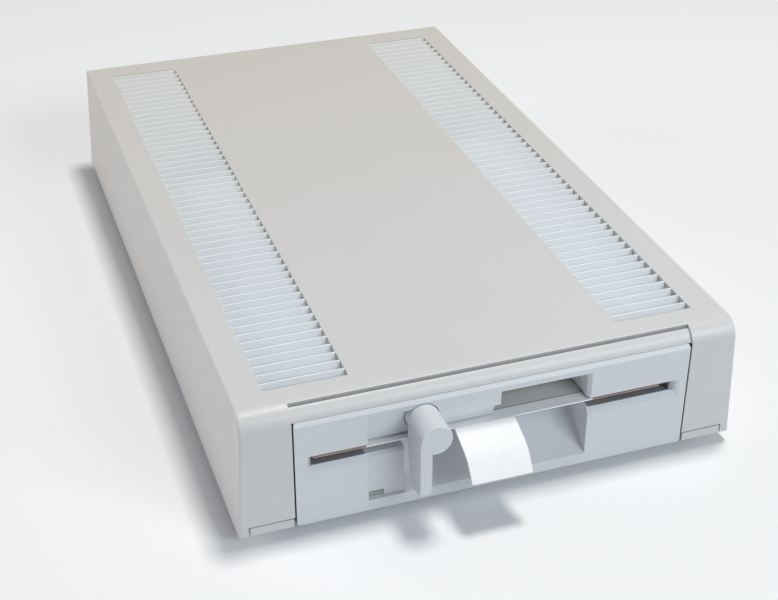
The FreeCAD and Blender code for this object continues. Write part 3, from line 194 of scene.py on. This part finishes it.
scene.world = bpy.data.worlds.new("room")
room = Finish(scene.world)
seen = room.add("ShaderNodeLightPath", {}, {}, "Is Camera Ray")
for ray in ("Is Glossy Ray", "Is Transmission Ray"):
    seen = seen.math("MAXIMUM", room.add("ShaderNodeLightPath", {}, {}, ray))
light = room.add("ShaderNodeBackground", {}, {"Color": (0.93, 0.965, 1.0, 1.0), "Strength": 0.22})
backdrop = room.add("ShaderNodeBackground", {}, {"Color": (0.86, 0.86, 0.87, 1.0), "Strength": 1.0})
choice = room.add("ShaderNodeMixShader", {}, {0: seen, 1: light, 2: backdrop})
room.feed(room.tree.nodes["World Output"].inputs["Surface"], choice)


def soft_light(name, place, width, height, power, colour):
    """Rectangular lamp at a place, facing the drive."""
    data = bpy.data.lights.new(name, "AREA")
    data.shape = "RECTANGLE"
    data.size = width
    data.size_y = height
    data.energy = power
    data.color = colour
    lamp = bpy.data.objects.new(name, data)
    scene.collection.objects.link(lamp)
    lamp.location = place
    lamp.rotation_euler = Vector(place).to_track_quat("Z", "Y").to_euler()


soft_light("ceiling", (0.25, 0.00, 1.60), 0.34, 0.26, 14.2, (1.0, 0.965, 0.93))
soft_light("high_front", (0.70, -1.35, 0.90), 0.90, 0.50, 10.6, (0.82, 0.92, 1.0))
soft_light("left_wall", (-1.50, 0.55, 0.45), 1.0, 0.6, 7.4, (0.95, 0.95, 1.0))


# Case: cover, louvres, base tray and rear panel
# Injection-moulded light-grey plastic with a fine spark-eroded texture, a little warmer in tint towards the
# back and rubbed smoother on the brow, with painted shade in the gap beside the bezel and in the groove along
# the brow.
# The two louvre mouldings under the cover are painted paler and bluer, for the brighter light on their slats.
def seam_painted_shade(finish, wall):
    """Mask for painted shade: 1 on a wall of the narrow gap beside the bezel, given by its distance from the
    middle.
    """
    seam_depth = (-0.1466, -0.125)
    seam_height = (0.0, 0.0473)
    place = finish.place()
    gap = finish.side().between(*wall) * place.part(1).between(*seam_depth, 0.0004)
    return gap * place.part(2).between(*seam_height)


def case_painted_shade(finish):
    """Painted shade mask: the pillar's wall of the gap, and the groove along the brow, darkened for the shade
    in them.
    """
    groove_half_width = 0.0746
    groove_depth = (-0.1424, -0.1416)
    groove_height = (0.050, 0.0531)
    place = finish.place()
    groove = finish.side().between(0.0, groove_half_width) * place.part(2).between(*groove_height)
    groove = groove * place.part(1).between(*groove_depth)
    return (groove * 0.4).math("MAXIMUM", seam_painted_shade(finish, (0.0744, 0.0748)))


def bezel_painted_shade(finish):
    """Painted shade mask: the bezel's wall of the gap, and the walls of the slot at both ends where no light
    comes in.
    """
    left_end = (-0.0488, -0.0486)
    right_end = (0.0352, 0.0354)
    slot_depth = (-0.1470, -0.1458)
    slot_height = (0.0284, 0.0333)
    place = finish.place()
    ends = place.part(0).ramp(*left_end, 1.0, 0.0) + place.part(0).ramp(*right_end)
    slot = ends * place.part(2).between(*slot_height) * place.part(1).ramp(*slot_depth)
    return (slot * 0.62).math("MAXIMUM", seam_painted_shade(finish, (0.0738, 0.0742)))


def moulded_finish(name, colour, grain=2200.0, roughness=0.5, drift=0.025, painted_shade=None, rub=0.0):
    """Fine even grain and slow colour drift, warmer in tint to the back, glossy where rubbed, with painted
    shade in gaps.
    """
    back_tint = (0.985, 0.935, 0.875)
    back_tint_depth = (-0.10, 0.16)
    brow_depth = (-0.1473, -0.138)
    shade_colour = (0.035, 0.03, 0.035, 1.0)
    finish = new_finish(name)
    grain_height = finish.noise(grain, 2.0, 0.6)
    cloud = finish.noise(9.0, 3.0, 0.5).ramp(0.3, 0.7)
    speck = finish.noise(grain / 3, 1.0, 0.5).ramp(0.35, 0.65)
    dark = tuple(c * (1 - drift) for c in colour) + (1.0,)
    pale = tuple(c * (1 + drift) for c in colour) + (1.0,)
    depth = finish.place().part(1)
    back_tinted = tuple(c * factor for c, factor in zip(colour, back_tint)) + (1.0,)
    clean = depth.ramp(*back_tint_depth).mix((cloud * 0.85 + speck * 0.15).mix(dark, pale), back_tinted)
    # Painted shade: the colour goes to near black where the shade mask is 1, in gaps and grooves.
    finish.paint(Base_Color=painted_shade(finish).mix(clean, shade_colour) if painted_shade else clean)
    rubbed = depth.ramp(*brow_depth, rub, 0.0)
    finish.paint(Roughness=roughness + (speck - 0.5) * 0.04 - rubbed)
    finish.paint(Normal=finish.bump(grain_height, 0.00002, 0.2))
    return finish.owner


case_plastic = moulded_finish("case_plastic", (0.635, 0.635, 0.63), painted_shade=case_painted_shade, rub=0.16)
# Painted light: the louvres' paler, bluer colour stands in for the brighter light falling on their slats.
louvre_painted_light = moulded_finish("louvre_painted_light", (0.89, 0.925, 0.95), 1800.0, 0.55)
# Painted shade in the bezel's gap wall and at the slot ends.
bezel_plastic = moulded_finish("bezel_plastic", (0.655, 0.68, 0.715), 2600.0, 0.45, 0.015, bezel_painted_shade)

record = frame["record"]
body_of_node = {node: body for body, nodes in record["behaviour"]["bodies"].items() for node in nodes}


def shown(name, mesh, node, material):
    """Put a finished mesh into the scene in a node's place, riding with that node's body."""
    piece = bpy.data.objects.new(name, mesh)
    scene.collection.objects.link(piece)
    mesh.materials.clear()
    mesh.materials.append(material)
    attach(piece, body_of_node[node])
    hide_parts(node)
    return piece


def softened(node, material, width):
    """Copy of a CAD piece, merged, with its flat faces joined and its edges rounded by a bevel."""
    sharp = math.radians(28.0)
    mesh = frame["nodes"][node].data.copy()
    form = bmesh.new()
    form.from_mesh(mesh)
    bmesh.ops.remove_doubles(form, verts=form.verts, dist=1e-6)
    bmesh.ops.dissolve_limit(form, angle_limit=math.radians(0.5), verts=form.verts, edges=form.edges)
    form.to_mesh(mesh)
    form.free()
    mesh.polygons.foreach_set("use_smooth", np.ones(len(mesh.polygons), bool))
    mesh.set_sharp_from_angle(angle=sharp)
    piece = shown(node + "_moulding", mesh, node, material)
    bevel = piece.modifiers.new("edge", "BEVEL")
    bevel.width = width
    bevel.segments = 2
    bevel.limit_method = "ANGLE"
    bevel.angle_limit = sharp
    bevel.harden_normals = True


softened("top_cover", case_plastic, 0.00022)
softened("left_louvres", louvre_painted_light, 0.0001)
softened("right_louvres", louvre_painted_light, 0.0001)
softened("base_tray", case_plastic, 0.0002)
softened("rear_panel", case_plastic, 0.0002)

# Bezel and lever
# The drive's own front plate and its knob with the flat blade, moulded in a slightly cooler grey with a
# finer grain than the case.
softened("bezel", bezel_plastic, 0.00022)
softened("lever", bezel_plastic, 0.0003)


# Card
# Stiff white card with its middle tab creased and bent down. Behind a scored line its top carries a
# beige-grey print, seen through the bezel's window.
def card_finish():
    """White card with fibre drift, painted shade on its ends inside the slot, and behind a dark scored line a
    grey print.
    """
    slot_shade_brown = (0.40, 0.30, 0.27, 1.0)
    print_grey = (0.62, 0.60, 0.57, 1.0)
    line_brown = (0.12, 0.09, 0.08, 1.0)
    left_end = (-0.0488, -0.0486)
    right_end = (0.0362, 0.0364)
    finish = new_finish("card_white")
    fibre = finish.noise(700.0, 3.0, 0.6).ramp(0.3, 0.7)
    across = finish.place().part(0)
    depth = finish.place().part(1)
    ends = across.ramp(*left_end, 1.0, 0.0) + across.ramp(*right_end)
    line = depth.between(-0.1418, -0.1416, 0.00015)
    # Painted shade: the card's ends inside the slot turn dark brown, for the shade there.
    sheet = ends.mix(fibre.mix((0.90, 0.90, 0.90, 1.0), (0.94, 0.94, 0.94, 1.0)), slot_shade_brown)
    sheet = depth.ramp(-0.14175, -0.1416).mix(sheet, print_grey)
    finish.paint(Base_Color=line.mix(sheet, line_brown), Roughness=0.55)
    finish.paint(Normal=finish.bump(fibre - line * 2.0, 0.00003, 0.4))
    return finish.owner


def dress(material, *nodes):
    """Give CAD pieces their finish."""
    for node in nodes:
        target = frame["nodes"][node]
        target.data.materials.clear()
        target.data.materials.append(material)


dress(card_finish(), "transport_card")


# Lamp behind the bezel
# A clear smoked light guide sunk in its hole, and the red lamp that stands behind it.
def clear_finish(name, colour, shade=None):
    """Smooth tinted plastic with faint streaks of flow, near black above a height where it lies in shade."""
    finish = new_finish(name)
    flow = finish.stretched(900.0, 0).ramp(0.3, 0.7)
    deep = tuple(c * 0.8 for c in colour) + (1.0,)
    tint = flow.mix(deep, tuple(colour) + (1.0,))
    if shade:
        tint = finish.place().part(2).ramp(*shade).mix(tint, (0.03, 0.035, 0.03, 1.0))
    finish.paint(Base_Color=tint, Roughness=0.18 + flow * 0.08, Coat_Weight=0.5)
    return finish.owner


dress(clear_finish("lamp_lens", (0.42, 0.50, 0.43), (0.0107, 0.0111)), "lamp_lens")
dress(clear_finish("lamp_red", (0.45, 0.03, 0.02)), "lamp")


# Feet
# Four black rubber discs stuck under the tray, dusty from the table.
def rubber_finish():
    """Dull black rubber, greyer where dust lies, with a soft pitted skin."""
    finish = new_finish("foot_rubber")
    dust = finish.noise(260.0, 4.0, 0.6).ramp(0.45, 0.75)
    finish.paint(Base_Color=dust.mix((0.02, 0.02, 0.02, 1.0), (0.10, 0.095, 0.09, 1.0)))
    finish.paint(Roughness=0.75 + dust * 0.15, Normal=finish.bump(finish.noise(1800.0), 0.00005, 0.5))
    return finish.owner


softened("rubber_feet", rubber_finish(), 0.0003)


# Metal parts
# Zinc-plated screws and sheet, ground steel shafts, brass pins and bush, and the cast drive frame.
# Each is brushed, rolled or cast, so its marks run their own way.
def metal_finish(name, colour, roughness, along=None, scale=900.0, spread=0.12):
    """Metal whose gloss and colour change with fine marks, drawn out along an axis or even all round."""
    finish = new_finish(name)
    marks = finish.noise(scale, 3.0, 0.6) if along is None else finish.stretched(scale, along)
    marks = marks.ramp(0.3, 0.7)
    bloom = finish.noise(60.0, 3.0, 0.6).ramp(0.35, 0.7)
    dark = tuple(c * 0.82 for c in colour) + (1.0,)
    finish.paint(Base_Color=(marks * 0.5 + bloom * 0.5).mix(dark, tuple(colour) + (1.0,)))
    finish.paint(Metallic=1.0, Roughness=roughness + marks * spread)
    finish.paint(Normal=finish.bump(marks, 0.00001, 0.3))
    return finish.owner


zinc = metal_finish("zinc_screw", (0.62, 0.63, 0.64), 0.28)
softened("case_screws", zinc, 0.00015)
softened("drive_screws", zinc, 0.00015)
softened("jack_posts", zinc, 0.00012)
dress(metal_finish("bright_steel", (0.70, 0.70, 0.70), 0.16, 1), "lever_shaft", "carriage_rails",
      "head_arm_pin", "arm_pivots", "cone_pin")
dress(metal_finish("zinc_sheet", (0.60, 0.61, 0.62), 0.32, 0, 500.0), "shaft_bracket", "drive_lid",
      "stepper_bracket", "clamp_arm", "rotor", "stepper")
dress(metal_finish("cast_alloy", (0.58, 0.59, 0.60), 0.42, None, 420.0), "chassis", "spindle_hub")
brass = metal_finish("pin_brass", (0.78, 0.62, 0.32), 0.22, 1)
dress(brass, "spindle_bearing", "inlet_pins")
dress(metal_finish("sink_aluminium", (0.74, 0.75, 0.76), 0.34, 2), "supply_heatsink")
dress(metal_finish("core_steel", (0.20, 0.20, 0.21), 0.45, 0, 1500.0), "transformer_core")
dress(metal_finish("copper_wire", (0.72, 0.36, 0.18), 0.30, None, 1600.0), "motor_coils")


# Data socket
# A shell on a flange, pressed from tinned steel sheet and held to the rear panel between two posts, with a
# black contact block in its mouth.
def socket_finish():
    """Tinned shell with rolled marks; black moulding inside the mouth, told apart by place."""
    finish = new_finish("socket_shell")
    mouth_across = (-0.0707, -0.0193)
    mouth_height = (0.0261, 0.0309)
    place = finish.place()
    inside = place.part(0).between(*mouth_across, 0.0002) * place.part(2).between(*mouth_height, 0.0002)
    marks = finish.stretched(900.0, 0).ramp(0.3, 0.7)
    tin = marks.mix((0.55, 0.55, 0.54, 1.0), (0.66, 0.66, 0.64, 1.0))
    finish.paint(Base_Color=inside.mix(tin, (0.02, 0.02, 0.02, 1.0)), Metallic=1.0 - inside)
    finish.paint(Roughness=0.28 + marks * 0.1 + inside * 0.2)
    return finish.owner


softened("data_socket", socket_finish(), 0.00015)


# Black mouldings
# Mains inlet, switch, guides, connectors, packages and cans: satin black plastic with a light haze of dust.
def black_finish(name, colour, roughness):
    """Satin black with a little dust haze and moulding grain."""
    finish = new_finish(name)
    haze = finish.noise(90.0, 4.0, 0.6).ramp(0.4, 0.8)
    dusty = tuple(c + 0.035 for c in colour) + (1.0,)
    finish.paint(Base_Color=haze.mix(tuple(colour) + (1.0,), dusty), Roughness=roughness + haze * 0.15)
    finish.paint(Normal=finish.bump(finish.noise(2400.0), 0.00002, 0.35))
    return finish.owner


black = black_finish("black_plastic", (0.018, 0.018, 0.019), 0.38)
for node in ("mains_inlet", "switch_body", "rocker"):
    softened(node, black, 0.0003)
dress(black, "edge_connector", "left_guide", "right_guide", "clamp_cone", "board_chips", "supply_capacitors")
dress(black_finish("regulator_black", (0.03, 0.03, 0.03), 0.5), "supply_regulator")
dress(black_finish("head_ceramic", (0.13, 0.12, 0.12), 0.12), "lower_head", "upper_head")


# Circuit boards
# Green glass-fibre boards with copper runs under the mask.
def board_finish():
    """Green mask, paler in straight bands along both axes where copper runs lie under it."""
    finish = new_finish("board_green")
    along = finish.stretched(420.0, 0, 0.08).ramp(0.47, 0.53)
    across = finish.stretched(420.0, 1, 0.08).ramp(0.47, 0.53)
    runs = along.math("MAXIMUM", across)
    finish.paint(Base_Color=runs.mix((0.025, 0.14, 0.055, 1.0), (0.045, 0.23, 0.09, 1.0)))
    finish.paint(Roughness=0.28 + runs * 0.1, Coat_Weight=0.3, Normal=finish.bump(runs, 0.00003, 0.5))
    return finish.owner


dress(board_finish(), "motor_board", "logic_board", "supply_board")

# Pale mouldings
# Nylon spacers, connectors, the cam and the head carriage, turned slightly yellow.
nylon = moulded_finish("nylon_white", (0.72, 0.70, 0.62), 1500.0, 0.42, 0.05)
dress(nylon, "board_standoffs", "supply_standoffs", "power_connector", "supply_header", "lever_cam",
      "carriage", "head_arm")


# Cables
# Grey ribbon cable of side-by-side cores, and red leads with a soft plastic sleeve.
def ribbon_finish():
    """Grey sleeve with a groove between every two cores across the cable, a sine of the place across."""
    core_pitch = 0.00127
    finish = new_finish("ribbon_grey")
    groove = (finish.place().part(0) * (2 * math.pi / core_pitch)).math("SINE") * 0.5 + 0.5
    finish.paint(Base_Color=groove.mix((0.30, 0.31, 0.32, 1.0), (0.46, 0.47, 0.48, 1.0)), Roughness=0.5)
    finish.paint(Normal=finish.bump(groove, 0.0003, 0.8))
    return finish.owner


dress(ribbon_finish(), "ribbon_cable")
dress(clear_finish("lead_red", (0.42, 0.04, 0.03)), "power_harness", "mains_leads")


# Transformer winding
# Bobbin wound with yellow film tape, laid in overlapping turns.
def tape_finish():
    """Yellow film, darker at the lap of each turn, near the crest of a sine of the height."""
    lap_pitch = 0.006
    finish = new_finish("winding_tape")
    lap = (finish.place().part(2) * (2 * math.pi / lap_pitch)).math("SINE").ramp(0.7, 1.0)
    finish.paint(Base_Color=lap.mix((0.60, 0.44, 0.10, 1.0), (0.42, 0.29, 0.06, 1.0)))
    finish.paint(Roughness=0.22 + lap * 0.1, Coat_Weight=0.4, Normal=finish.bump(lap, 0.0002, 0.6))
    return finish.owner


dress(tape_finish(), "transformer_winding")


# Lead screw
# Ground steel screw with a rounded helical groove, turned by the stepper.
def lead_screw_mesh():
    """Round bar along y; its radius sinks by depth * cos(phase) ** 2 where cos(phase) > 0, with
    phase = 2 * pi * y / pitch + angle."""
    radius = 0.0022
    depth = 0.00035
    pitch = 0.00847
    middle_x = 0.031
    middle_z = 0.028
    rings = 900
    around = 32
    y = np.linspace(-0.0598, 0.0487, rings)
    angle = np.linspace(0.0, 2 * math.pi, around, endpoint=False)
    gy, ga = np.meshgrid(y, angle, indexing="ij")
    phase = 2 * math.pi * gy / pitch + ga
    reach = radius - depth * np.clip(np.cos(phase), 0.0, None) ** 2
    points = np.stack([middle_x + reach * np.cos(ga), gy, middle_z + reach * np.sin(ga)], axis=-1)
    index = np.arange(rings * around).reshape(rings, around)
    beside = np.roll(index, -1, axis=1)
    walls = np.stack([index[:-1], index[1:], beside[1:], beside[:-1]], axis=-1).reshape(-1, 4).tolist()
    ends = [index[0].tolist(), index[-1, ::-1].tolist()]
    mesh = bpy.data.meshes.new("lead_screw_thread")
    mesh.from_pydata(points.reshape(-1, 3).tolist(), [], walls + ends)
    mesh.polygons.foreach_set("use_smooth", np.arange(len(walls) + 2) < len(walls))
    return mesh


screw_steel = metal_finish("screw_steel", (0.66, 0.66, 0.66), 0.2, 1)
shown("lead_screw_thread", lead_screw_mesh(), "lead_screw", screw_steel)
